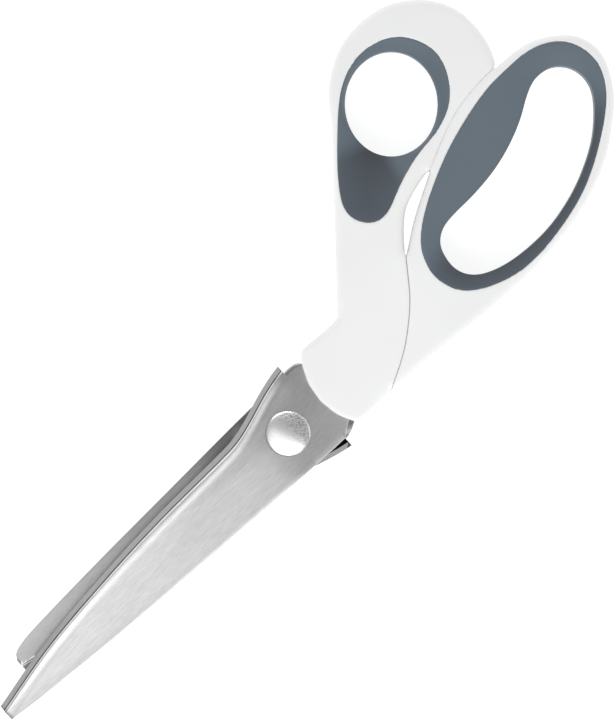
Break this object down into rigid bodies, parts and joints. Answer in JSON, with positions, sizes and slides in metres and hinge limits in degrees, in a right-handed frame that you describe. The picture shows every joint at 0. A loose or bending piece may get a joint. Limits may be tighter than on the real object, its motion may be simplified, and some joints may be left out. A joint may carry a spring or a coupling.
{
  "type": "pinking shears",
  "caption": "Pinking shears: two toothed-flange blades on one pivot, each with a moulded handle and a soft-lined finger loop.",
  "frame": {"origin": "on the pivot axis, on the flat back of the pivot nut, which is the surface that the shears lie on", "axes": "+X from the pivot towards the handles, +Y towards the thumb handle, +Z along the pivot axis, out of the front of the shears"},
  "size_m": [0.2332, 0.0805, 0.012],
  "materials": {
    "blade_steel": "ground and brushed along the blade",
    "pivot_steel": "satin",
    "white_plastic": "satin moulded",
    "soft_grip": "matt soft-touch"
  },
  "bodies": {
    "finger_side": {"back_blade": "blade_steel", "finger_handle": "white_plastic", "finger_grip": "soft_grip", "pivot_screw": "pivot_steel", "pivot_bushing": "pivot_steel", "centre_washer": "pivot_steel", "spring_washer": "pivot_steel", "pivot_nut": "pivot_steel"},
    "thumb_side": {"front_blade": "blade_steel", "thumb_handle": "white_plastic", "thumb_grip": "soft_grip"}
  },
  "joints": [
    {"name": "pivot", "type": "hinge", "parent": "finger_side", "child": "thumb_side", "pos_m": [0, 0, 0], "axis": [0, 0, 1], "range_deg": [0, 60]}
  ]
}
